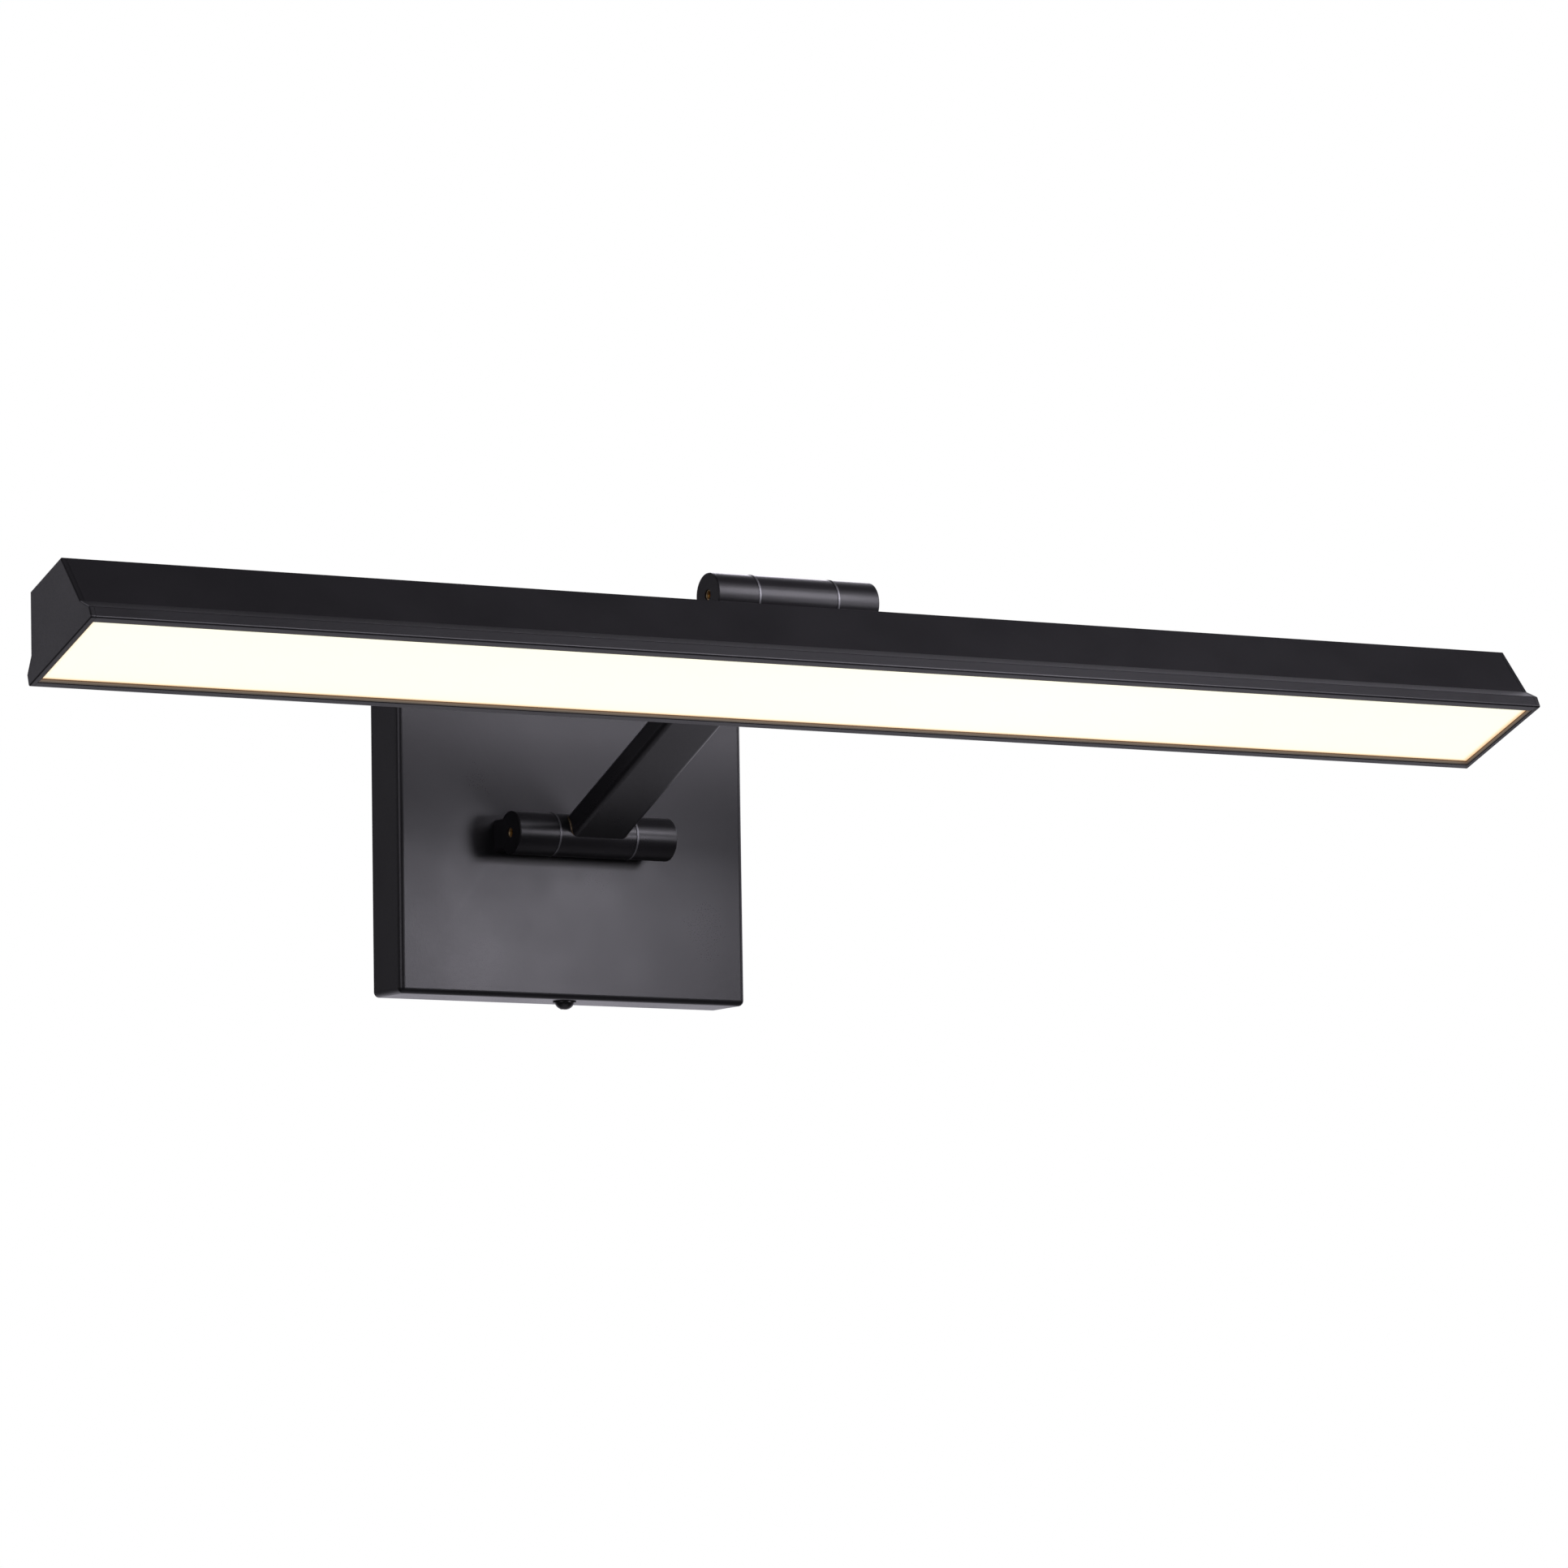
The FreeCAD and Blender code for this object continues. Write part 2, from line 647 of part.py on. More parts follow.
def end_cap(side):
    """Flat end plate with softened edges and a hollow spigot that fits inside the housing."""
    outside, inside = side * HEAD_HALF, side * (HEAD_HALF - CAP_THICKNESS)
    plate = extrude_profile(section(0, RIM_UP), *sorted((inside, outside)))
    plate = soften_rim(plate, RIM_EDGE_R)
    rim = edges_where(plate, lambda e: e.BoundBox.XMin * side > HEAD_HALF - 0.01)
    rim = [e for e in rim if abs(e.BoundBox.XMax - e.BoundBox.XMin) < 0.01]
    plate = plate.makeFillet(CAP_EDGE_R, rim)
    low, high = sorted((inside - side * SPIGOT_DEPTH, inside))
    spigot = extrude_profile(section(HEAD_WALL + 0.1, 0), low, high)
    hollow = extrude_profile(section(HEAD_WALL + 1.3, -1), low - 1, high + 1)
    below = box(low - 1, high + 1, -HEAD_HEIGHT, HEAD_HEIGHT, -2, SPIGOT_UP)
    return plate.fuse(spigot.cut(hollow).cut(below)).removeSplitter()


def diffuser_panel():
    """Opal lens slid in above the flanges: a panel with a thicker edge that hangs a little lower."""
    reach = HEAD_HALF - CAP_THICKNESS - 0.1
    panel = box(-reach, reach, -LENS_HALF, LENS_HALF, FLANGE_UP + 0.02, LENS_TOP_UP)
    open_x = reach - LENS_EDGE
    return panel.cut(
        box(-open_x, open_x, -LENS_OPEN_HALF, LENS_OPEN_HALF, FLANGE_UP - 1, LENS_FACE_UP)
    )


def gear_tray():
    """White sheet that carries the board and hides the wiring above it."""
    tray = box(
        -TRAY_HALF_LENGTH, TRAY_HALF_LENGTH, -TRAY_HALF, TRAY_HALF, TRAY_UP, TRAY_UP + TRAY_THICKNESS
    )
    for side in (-1, 1):
        y0, y1 = sorted((side * (TRAY_HALF - TRAY_THICKNESS), side * TRAY_HALF))
        tray = tray.fuse(
            box(-TRAY_HALF_LENGTH, TRAY_HALF_LENGTH, y0, y1, TRAY_UP - 3.0, TRAY_UP + 0.1)
        )
    for x in SPACER_X:
        tray = tray.cut(cylinder(1.3, (x, 0, TRAY_UP - 1), (x, 0, TRAY_UP + 2)))
    return tray.removeSplitter()


def tray_spacers():
    """Posts between the housing's top wall and the tray."""
    low, high = TRAY_UP + TRAY_THICKNESS + 0.02, HEAD_HEIGHT - HEAD_WALL - 0.02
    return compound(ring(SPACER_R, 1.3, (x, 0, low), (x, 0, high)) for x in SPACER_X)


def tray_screws():
    """Screws up through the board and tray into the posts."""
    screws = []
    for x in SPACER_X:
        screw = pan_screw(2.2, 1.2, 1.25, 6.4)
        screw.rotate(Vector(0, 0, 0), Vector(1, 0, 0), 180)
        screw.translate(Vector(x, 0, TRAY_UP - BOARD_T - 0.04))
        screws.append(screw)
    return compound(screws)


def led_board():
    """Long metal-core board on the underside of the tray."""
    top = TRAY_UP - 0.02
    board = box(
        -BOARD_HALF_LENGTH, BOARD_HALF_LENGTH, -BOARD_HALF, BOARD_HALF, top - BOARD_T, top
    )
    for x in SPACER_X:
        board = board.cut(cylinder(1.3, (x, 0, top - BOARD_T - 1), (x, 0, top + 1)))
    return board


def led_chips():
    """Row of surface-mounted LEDs, leaving room for the tray screws."""
    top = TRAY_UP - BOARD_T - 0.03
    first = -CHIP_PITCH * (CHIP_COUNT - 1) / 2
    chips = []
    for i in range(CHIP_COUNT):
        x = first + CHIP_PITCH * i
        if min(abs(x - s) for s in SPACER_X) < 4.2:
            continue
        chips.append(
            box(x - CHIP[0] / 2, x + CHIP[0] / 2, -CHIP[1] / 2, CHIP[1] / 2, top - CHIP[2], top)
        )
    return compound(chips)


def board_connector():
    """Plug-in terminal on top of the tray for the low-voltage pair."""
    base = TRAY_UP + TRAY_THICKNESS + 0.02
    return rounded_bar(-62, -52, -4, 4, base, base + 4.2, 0.6, Vector(0, 0, 1))


def head_leads():
    """Low-voltage pair from the left knuckle to the board connector."""
    level = TRAY_UP + TRAY_THICKNESS + 2.3
    return [
        lead(
            [
                (FOOT_WIRE_X, HEAD_HINGE_OFFSET + side * 0.75, HEAD_HEIGHT),
                (FOOT_WIRE_X, HEAD_HINGE_OFFSET + side * 0.75, level),
                (-30, 1.5 + side * 0.9, level),
                (-42, side * 1.6, level),
                (-52, side * 1.6, level),
            ],
            0.7,
        )
        for side in (-1, 1)
    ]


# ---- All nodes ----------------------------------------------------------------------------------


def all_nodes():
    nodes = {
        "canopy_cover": canopy_cover(),
        "mounting_strap": mounting_strap(),
        "canopy_screws": canopy_screws(),
        "canopy_screw_washers": canopy_screw_washers(),
        "ground_screw": ground_screw(),
        "ring_terminal": ring_terminal(),
        "led_driver": led_driver(),
        "driver_foam_pad": driver_foam_pad(),
        "terminal_block": terminal_block(),
        "terminal_screws": terminal_screws(),
        "live_lead": mains_leads()[0],
        "neutral_lead": mains_leads()[1],
        "ground_lead": ground_lead(),
        "driver_output_leads": compound(output_leads()),
        "wire_grommet": wire_grommet(),
        "base_knuckle_screws": placed(foot_screws(CANOPY_WALL), BASE_HINGE),
        "lower_hinge_pin": placed(hinge_pin(), BASE_HINGE),
        "lower_hinge_leads": placed(compound(hinge_leads()), BASE_HINGE),
        "lower_friction_washers": placed(friction_washers(), BASE_HINGE),
        "arm_tube": placed(arm_tube(), ARM),
        "arm_lower_barrel": placed(hub(1), ARM),
        "lower_hinge_bushes": placed(hinge_bushes(), ARM),
        "arm_leads": placed(compound(arm_leads()), ARM),
        "head_housing": placed(head_housing(), HEAD),
        "diffuser_panel": placed(diffuser_panel(), HEAD),
        "gear_tray": placed(gear_tray(), HEAD),
        "tray_spacers": placed(tray_spacers(), HEAD),
        "tray_screws": placed(tray_screws(), HEAD),
        "led_board": placed(led_board(), HEAD),
        "led_chips": placed(led_chips(), HEAD),
        "board_connector": placed(board_connector(), HEAD),
        "head_leads": placed(compound(head_leads()), HEAD),
        "head_knuckle_screws": placed(foot_screws(HEAD_WALL), HEAD_HINGE),
        "upper_hinge_pin": placed(hinge_pin(), HEAD_HINGE),
        "upper_hinge_leads": placed(compound(hinge_leads()), HEAD_HINGE),
        "upper_friction_washers": placed(friction_washers(), HEAD_HINGE),
    }
    arm_end = Placement(Vector(0, 0, ARM_PITCH), Rotation())
    nodes["arm_upper_barrel"] = placed(placed(hub(-1), arm_end), ARM)
    nodes["upper_hinge_bushes"] = placed(placed(hinge_bushes(), arm_end), ARM)
    for name, side in (("left", -1), ("right", 1)):
        nodes[f"base_knuckle_{name}"] = placed(knuckle(side), BASE_HINGE)
        nodes[f"head_knuckle_{name}"] = placed(knuckle(side), HEAD_HINGE)
        nodes[f"head_end_cap_{name}"] = placed(end_cap(side), HEAD)
    return nodes


def main():
    os.makedirs("parts", exist_ok=True)
    for name, shape in sorted(all_nodes().items()):
        sound = shape.isValid() and shape.Volume > 0 and all(s.isClosed() for s in shape.Solids)
        print(f"{name:26s} solids {len(shape.Solids):3d}  volume {shape.Volume:10.1f}  sound {sound}")
        shape.exportStep(f"parts/{name}.step")


main()
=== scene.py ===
"""Looks for the picture light: materials, small added pieces, stage, lights and camera."""

import json
import math

import bpy
from mathutils import Matrix, Vector

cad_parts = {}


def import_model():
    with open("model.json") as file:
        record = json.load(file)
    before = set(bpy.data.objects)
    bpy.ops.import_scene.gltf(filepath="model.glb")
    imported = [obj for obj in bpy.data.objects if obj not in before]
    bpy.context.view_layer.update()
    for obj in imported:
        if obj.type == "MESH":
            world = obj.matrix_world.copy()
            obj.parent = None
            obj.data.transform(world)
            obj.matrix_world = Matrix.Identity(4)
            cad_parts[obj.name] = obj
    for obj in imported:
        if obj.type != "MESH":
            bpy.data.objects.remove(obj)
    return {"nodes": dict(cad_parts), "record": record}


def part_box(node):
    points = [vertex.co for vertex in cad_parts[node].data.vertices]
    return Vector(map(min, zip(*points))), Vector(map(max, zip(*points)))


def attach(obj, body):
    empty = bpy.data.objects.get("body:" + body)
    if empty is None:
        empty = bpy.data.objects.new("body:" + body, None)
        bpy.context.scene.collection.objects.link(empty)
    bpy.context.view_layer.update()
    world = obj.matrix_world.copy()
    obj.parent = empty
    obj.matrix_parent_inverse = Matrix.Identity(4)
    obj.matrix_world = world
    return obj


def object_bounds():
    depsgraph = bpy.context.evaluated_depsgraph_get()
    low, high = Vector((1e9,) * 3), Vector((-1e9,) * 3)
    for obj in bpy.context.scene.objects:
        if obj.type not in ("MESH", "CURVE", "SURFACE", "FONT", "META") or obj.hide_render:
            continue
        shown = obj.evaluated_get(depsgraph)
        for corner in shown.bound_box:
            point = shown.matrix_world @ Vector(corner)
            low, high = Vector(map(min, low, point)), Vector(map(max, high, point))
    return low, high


# ---- Driving values, in metres and radians unless the name says otherwise -----------------------

# Camera: a long lens, low and to the left of the light.
CAMERA_PLACE = Vector((-1.3643, -2.3866, -0.3097))
CAMERA_YAW = 0.5424
CAMERA_PITCH = 0.1135
CAMERA_ROLL = -0.0154
CAMERA_SENSOR_MM = 36.0
CAMERA_LENS_MM = 200.45
CAMERA_SHIFT = (0.0246, 0.0060)
CAMERA_CLIP = (0.05, 50.0)

# Floor: how far it lies below the light, its side, and the two shades of its paint.
FLOOR_DROP = 1.9
FLOOR_SIZE = 2.0
FLOOR_COLOURS = ((0.86, 0.86, 0.86), (0.90, 0.90, 0.89))

# Black powder coat, and the range of pointiness over which an outward edge shows as worn.
COAT_COLOUR = (0.0085, 0.0081, 0.0090)
WORN_EDGE_RANGE = (0.52, 0.60)

# Lens: the head's tilt at rest, the opening that shows the lens, and the step round the lens.
HEAD_TILT = math.radians(-20.8)
LENS_OPEN_HALF = 0.0187
LENS_OPEN_END = 0.25215
LENS_STEP = 0.00060
LENS_STEP_SLACK = 0.00002
# Width of the band in which the lens's glow fades towards its long sides and its ends.
LENS_FADE_ACROSS = 0.0018
LENS_FADE_ALONG = 0.0032
# Glow of the lens face from the foot of its step (0) to a full fade inside it (1).
LENS_GLOW = (
    (0.00, (0.87, 0.48, 0.18)),
    (0.10, (0.89, 0.58, 0.30)),
    (0.28, (0.93, 0.69, 0.43)),
    (0.45, (1.00, 0.84, 0.57)),
    (0.62, (1.00, 0.92, 0.72)),
    (0.85, (1.00, 0.97, 0.81)),
    (1.00, (1.04, 1.03, 0.80)),
)
# Painted glow on the step round the lens, standing for the lens's warm light reflected on the
# trim's inner edge, from its lower edge (0) to the lens face (1).
STEP_PAINTED_REFLECTION = (
    (0.00, (0.15, 0.12, 0.10)),
    (0.30, (0.13, 0.09, 0.07)),
    (0.45, (0.09, 0.045, 0.020)),
    (1.00, (0.10, 0.040, 0.010)),
)

# Thin sheet inside the opening that carries a painted reflection of the lens's glow on the trim's
# inner wall: its thickness, its gap to the rim, the heights of its two edges above the lens's
# lowest face, its colour, and its painted glow from the lower edge (0) to the upper (1).
LIP_THICKNESS = 0.00022
LIP_CLEARANCE = 0.00002
LIP_LOW = -0.00060
LIP_HIGH = 0.00060
PAINTED_SHEET_COLOUR = (0.02, 0.014, 0.010)
PAINTED_TRIM_REFLECTION = (
    (0.00, (0.045, 0.033, 0.026)),
    (0.20, (0.060, 0.045, 0.036)),
    (0.45, (0.150, 0.110, 0.085)),
    (0.70, (0.080, 0.042, 0.022)),
    (1.00, (0.085, 0.032, 0.008)),
)

# Hinges and arm, as the CAD model has them at rest.
LOWER_AXIS = Vector((0.0, -0.0273, -0.0119))
UPPER_AXIS = Vector((0.0, -0.14982, 0.047592))
BARREL_RADIUS = 0.0068
BARREL_HALF = 0.0284
ARM_HALF_WIDTH = 0.0100
ARM_HALF_THICKNESS = 0.0040
ARM_EDGE_RADIUS = 0.0020

# Weld beads: radius, reach each way from the middle, ripple as a share of the radius and how
# fast it runs, and the least that the taper's square comes down to.
WELD_RADIUS = 0.0005
WELD_REACH = 0.0037
WELD_RIPPLE = 0.08
WELD_RIPPLE_RATE = 25.0
WELD_TAPER_FLOOR = 0.02
WELD_STEPS = 40
WELD_SIDES = 12

# Collars in the access holes: radii, depths of the two ends, and the chamfer at the mouth.
COLLAR_INNER = 0.00125
COLLAR_OUTER = 0.00168
COLLAR_DEPTHS = (0.00040, 0.00125)
COLLAR_CHAMFER_DEPTH = 0.00008
COLLAR_CHAMFER_WIDTH = 0.00010
COLLAR_SIDES = 48

# Tint of all the studio's light, and the dome: the way to its bright middle, the cosines where
# that starts and is full, and the strengths of its dim part and its bright part.
STUDIO_TINT = (1.0, 0.965, 1.08)
DOME_MIDDLE = (0.53, 0.84, -0.10)
DOME_RANGE = (0.45, 0.90)
DOME_STRENGTH = (0.035, 0.74)

# Soft lamps: name, place, aim, size, radiance of the lamp itself, and beam in degrees.
SOFTBOXES = (
    ("key", (0.55, -1.24, 0.49), (0.0, -0.08, 0.0), (0.90, 0.62), 5.1, 180.0),
    ("high_box", (0.62, -0.90, 0.85), (0.0, -0.10, 0.0), (0.60, 0.40), 1.05, 180.0),
    ("top_box", (0.95, 0.50, 1.00), (0.0, -0.10, 0.0), (0.60, 0.60), 0.38, 180.0),
    ("canopy_box", (0.175, -0.36, 0.0015), (-0.032, -0.017, -0.047), (0.10, 0.10), 0.42, 50.0),
    ("end_panel", (-0.52, 0.27, 0.08), (-0.254, -0.15, 0.02), (0.25, 0.25), 0.50, 180.0),
    ("left_box", (-1.20, -0.70, 0.30), (0.0, -0.08, 0.0), (0.80, 0.80), 1.3, 180.0),
    ("right_box", (1.50, -0.20, 0.50), (0.0, -0.08, 0.0), (0.80, 0.80), 2.0, 180.0),
    ("back_box", (0.50, 1.30, 0.90), (0.0, -0.08, 0.0), (0.90, 0.60), 4.0, 180.0),
    ("back_top_box", (-0.40, 0.90, 1.40), (0.0, -0.08, 0.0), (0.70, 0.70), 2.0, 180.0),
)


# ---- Shader helpers -----------------------------------------------------------------------------


class Shader:
    """One material's node tree, with short calls for the nodes that the materials share."""

    def __init__(self, name):
        self.material = bpy.data.materials.new(name)
        self.material.use_nodes = True
        self.nodes = self.material.node_tree.nodes
        self.links = self.material.node_tree.links
        self.surface = self.nodes["Principled BSDF"]
        self.place = self.nodes.new("ShaderNodeTexCoord").outputs["Object"]

    def set(self, **values):
        """Sets sockets of the main shader: underscores in a name stand for spaces."""
        for name, value in values.items():
            socket = self.surface.inputs[name.replace("_", " ")]
            is_colour = socket.type == "RGBA"
            socket.default_value = (*value, 1.0) if is_colour else value

    def connect(self, output, socket_name):
        """Feeds an output into a socket of the main shader."""
        self.links.new(output, self.surface.inputs[socket_name])

    def stretched(self, scale):
        """Object coordinates scaled per axis."""
        mapping = self.nodes.new("ShaderNodeMapping")
        mapping.inputs["Scale"].default_value = scale
        self.links.new(self.place, mapping.inputs["Vector"])
        return mapping.outputs["Vector"]

    def noise(self, scale, detail=3.0, roughness=0.5, place=None):
        """Noise value from 0 to 1; scale is in features per metre."""
        node = self.nodes.new("ShaderNodeTexNoise")
        node.inputs["Scale"].default_value = scale
        node.inputs["Detail"].default_value = detail
        node.inputs["Roughness"].default_value = roughness
        self.links.new(place or self.place, node.inputs["Vector"])
        return node.outputs["Fac"]

    def cells(self, scale):
        """Distance to the nearest cell centre; scale is in cells per metre."""
        node = self.nodes.new("ShaderNodeTexVoronoi")
        node.inputs["Scale"].default_value = scale
        self.links.new(self.place, node.inputs["Vector"])
        return node.outputs["Distance"]

    def spread(self, value, source, target=(0.0, 1.0)):
        """Maps a value's range onto another, clamped."""
        node = self.nodes.new("ShaderNodeMapRange")
        limits = (*source, *target)
        for name, limit in zip(("From Min", "From Max", "To Min", "To Max"), limits):
            node.inputs[name].default_value = limit
        self.links.new(value, node.inputs["Value"])
        return node.outputs["Result"]

    def blend(self, factor, low_colour, high_colour):
        """Mixes two colours; each is an RGB tuple or another node's output."""
        node = self.nodes.new("ShaderNodeMix")
        node.data_type = "RGBA"
        self.links.new(factor, node.inputs["Factor"])
        colour_inputs = {s.name: s for s in node.inputs if s.type == "RGBA"}
        for name, colour in (("A", low_colour), ("B", high_colour)):
            if isinstance(colour, tuple):
                colour_inputs[name].default_value = (*colour, 1.0)
            else:
                self.links.new(colour, colour_inputs[name])
        return next(s for s in node.outputs if s.type == "RGBA")

    def gradient(self, factor, stops):
        """Smooth run of colours; each stop is (position, colour)."""
        node = self.nodes.new("ShaderNodeValToRGB")
        marks = node.color_ramp.elements
        for position, _ in stops[1:-1]:
            marks.new(position)
        for mark, (position, colour) in zip(marks, stops):
            mark.position = position
            mark.color = (*colour, 1.0)
        self.links.new(factor, node.inputs["Fac"])
        return node.outputs["Color"]

    def combine(self, operation, first, second=0.0):
        """Arithmetic between two values; each is a number or another node's output."""
        node = self.nodes.new("ShaderNodeMath")
        node.operation = operation
        for socket, value in zip(node.inputs, (first, second)):
            if isinstance(value, (int, float)):
                socket.default_value = value
            else:
                self.links.new(value, socket)
        return node.outputs["Value"]

    def along(self, vector, axis):
        """Length of a vector node's output along an axis."""
        node = self.nodes.new("ShaderNodeVectorMath")
        node.operation = "DOT_PRODUCT"
        node.inputs[1].default_value = axis
        self.links.new(vector.outputs["Vector"], node.inputs[0])
        return node.outputs["Value"]

    def inside(self, value, half):
        """How far a value lies inside the range from -half to half."""
        return self.combine("SUBTRACT", half, self.combine("ABSOLUTE", value))

    def bump(self, height, distance, strength, below=None):
        """Surface relief: distance is the height in metres of a full step."""
        node = self.nodes.new("ShaderNodeBump")
        node.inputs["Distance"].default_value = distance
        node.inputs["Strength"].default_value = strength
        self.links.new(height, node.inputs["Height"])
        if below is not None:
            self.links.new(below, node.inputs["Normal"])
        return node.outputs["Normal"]

    def exposed_edges(self):
        """About 0 on flat faces, rising to 1 on outward edges."""
        pointiness = self.nodes.new("ShaderNodeNewGeometry").outputs["Pointiness"]
        return self.spread(pointiness, WORN_EDGE_RANGE)


def shaded(colour, factor, lift=0.0):
    """The same colour made darker or lighter."""
    return tuple(factor * channel + lift for channel in colour)


# ---- Materials ----------------------------------------------------------------------------------


def powder_coat(name, colour, roughness):
    """Satin powder coat: fine orange peel, uneven gloss, and polished edges."""
    s = Shader(name)
    cloud = s.noise(scale=38.0, detail=4.0)
    grain = s.noise(scale=2600.0, detail=2.0)
    edge = s.exposed_edges()
    base = s.blend(s.spread(cloud, (0.35, 0.65)), colour, shaded(colour, 1.35, lift=0.002))
    worn = shaded(colour, 2.6, lift=0.006)
    s.connect(s.blend(s.combine("MULTIPLY", edge, 0.55), base, worn), "Base Color")
    gloss = s.spread(cloud, (0.3, 0.7), (roughness - 0.03, roughness + 0.03))
    speckle = s.spread(grain, (0.35, 0.65), (-0.03, 0.03))
    uneven = s.combine("ADD", gloss, speckle)
    s.connect(s.combine("SUBTRACT", uneven, s.combine("MULTIPLY", edge, 0.08)), "Roughness")
    peel = s.noise(scale=700.0, detail=2.0, roughness=0.4)
    relief = s.bump(peel, distance=0.00002, strength=0.5)
    s.connect(s.bump(grain, distance=0.000012, strength=0.6, below=relief), "Normal")
    s.set(IOR=1.5, Specular_IOR_Level=0.5)
    return s.material


def turned_metal(name, colour, roughness, stretch):
    """Bare metal with machining lines along the axis whose scale is small, and faint tarnish."""
    s = Shader(name)
    lines = s.noise(scale=900.0, roughness=0.6, place=s.stretched(stretch))
    stain = s.noise(scale=160.0, detail=4.0)
    darker = shaded(colour, 0.62)
    base = s.blend(s.spread(stain, (0.35, 0.75), (0.0, 0.7)), colour, darker)
    s.connect(s.blend(s.spread(lines, (0.3, 0.7), (0.0, 0.3)), base, darker), "Base Color")
    polish = s.spread(lines, (0.25, 0.75), (roughness - 0.06, roughness + 0.1))
    s.connect(polish, "Roughness")
    s.connect(s.bump(lines, distance=0.00001, strength=0.5), "Normal")
    s.set(Metallic=1.0)
    return s.material


def zinc_plate(name, colour):
    """Bright zinc plating: soft patches of grain, a little haze, and rolling lines."""
    s = Shader(name)
    patches = s.cells(scale=420.0)
    haze = s.noise(scale=90.0, detail=4.0)
    darker = shaded(colour, 0.72)
    base = s.blend(s.spread(patches, (0.1, 0.7), (0.0, 0.55)), colour, darker)
    s.connect(s.blend(s.spread(haze, (0.45, 0.8), (0.0, 0.4)), base, darker), "Base Color")
    s.connect(s.spread(haze, (0.3, 0.7), (0.26, 0.42)), "Roughness")
    lines = s.noise(scale=1300.0, detail=2.0, place=s.stretched((1.0, 1.0, 0.08)))
    s.connect(s.bump(lines, distance=0.00001, strength=0.4), "Normal")
    s.set(Metallic=1.0)
    return s.material


def moulded_plastic(name, colour, roughness, grain_scale=1500.0):
    """Moulded plastic: spark-eroded grain, slight shade drift, and rubbed edges."""
    s = Shader(name)
    drift = s.noise(scale=45.0)
    grain = s.noise(scale=grain_scale, detail=2.0)
    base = s.blend(s.spread(drift, (0.35, 0.65), (0.0, 0.6)), colour, shaded(colour, 0.86))
    rubbed = shaded(colour, 1.12, lift=0.01)
    s.connect(s.blend(s.combine("MULTIPLY", s.exposed_edges(), 0.5), base, rubbed), "Base Color")
    s.connect(s.spread(grain, (0.3, 0.7), (roughness - 0.05, roughness + 0.06)), "Roughness")
    s.connect(s.bump(grain, distance=0.00002, strength=0.6), "Normal")
    return s.material


def wire_insulation(name, colour):
    """Smooth extruded insulation with a faint grain and handling smudges."""
    s = Shader(name)
    smudge = s.noise(scale=220.0)
    s.connect(s.blend(s.spread(smudge, (0.4, 0.7)), colour, shaded(colour, 0.8)), "Base Color")
    s.connect(s.spread(smudge, (0.3, 0.7), (0.28, 0.42)), "Roughness")
    grain = s.noise(scale=1800.0, detail=1.0)
    s.connect(s.bump(grain, distance=0.000008, strength=0.5), "Normal")
    return s.material


def foam(name, colour):
    """Closed-cell foam: a field of small dimples with painted shade in their hollows, and a soft
    dusty sheen.
    """
    s = Shader(name)
    dimples = s.cells(scale=1400.0)
    # Base colour darker toward each cell's middle, in the dimple's hollow: painted shade.
    s.connect(s.blend(s.spread(dimples, (0.1, 0.6)), shaded(colour, 0.55), colour), "Base Color")
    s.connect(s.bump(dimples, distance=0.0002, strength=0.7), "Normal")
    s.set(Roughness=0.9, Sheen_Weight=0.2)
    return s.material


def head_axes():
    """Directions along the head, across it and up from its underside, as it is tilted at rest."""
    cos, sin = math.cos(HEAD_TILT), math.sin(HEAD_TILT)
    return Vector((1, 0, 0)), Vector((0, cos, sin)), Vector((0, -sin, cos))


def lens_centre():
    """Centre of the lens, and the height of its lowest face from there, both as it is tilted."""
    low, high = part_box("diffuser_panel")
    cos, sin = math.cos(HEAD_TILT), abs(math.sin(HEAD_TILT))
    span_y, span_z = (high - low).y, (high - low).z
    # The lens is a slab, so its thickness follows from the sides of the upright box round it.
    thickness = (span_z * cos - span_y * sin) / (cos * cos - sin * sin)
    return (low + high) / 2, -thickness / 2


def lens_axes(s):
    """Distances from the lens's centre along and across the head, and up from its lowest face."""
    middle, foot = lens_centre()
    centred = s.nodes.new("ShaderNodeVectorMath")
    centred.operation = "SUBTRACT"
    centred.inputs[1].default_value = middle
    s.links.new(s.place, centred.inputs[0])
    x, y, z = [s.along(centred, axis) for axis in head_axes()]
    return x, y, s.combine("SUBTRACT", z, foot)


def opal_lens(name, colour):
    """Lit opal acrylic: warm white, amber near its edges, and a painted brown reflection of its
    glow on the step round it.
    """
    s = Shader(name)
    x, y, height = lens_axes(s)
    across = s.combine("DIVIDE", s.inside(y, LENS_OPEN_HALF), LENS_FADE_ACROSS)
    along = s.combine("DIVIDE", s.inside(x, LENS_OPEN_END), LENS_FADE_ALONG)
    faded = s.combine("MINIMUM", across, along)
    mottle = s.spread(s.noise(scale=30.0, detail=2.0), (0.3, 0.7), (-0.02, 0.02))
    face = s.gradient(s.combine("ADD", faded, mottle), LENS_GLOW)
    # The step's brown glow is a painted reflection of the lens's light on the trim's inner edge.
    step_reflection = s.gradient(s.combine("DIVIDE", height, LENS_STEP), STEP_PAINTED_REFLECTION)
    is_face = s.combine("GREATER_THAN", height, LENS_STEP - LENS_STEP_SLACK)
    s.connect(s.blend(is_face, step_reflection, face), "Emission Color")
    s.set(Emission_Strength=1.0, Base_Color=colour, Specular_IOR_Level=0.2)
    ripple = s.noise(scale=1200.0, detail=2.0)
    s.connect(s.bump(ripple, distance=0.00001, strength=0.3), "Normal")
    s.connect(s.spread(s.noise(scale=60.0), (0.3, 0.7), (0.42, 0.5)), "Roughness")
    return s.material


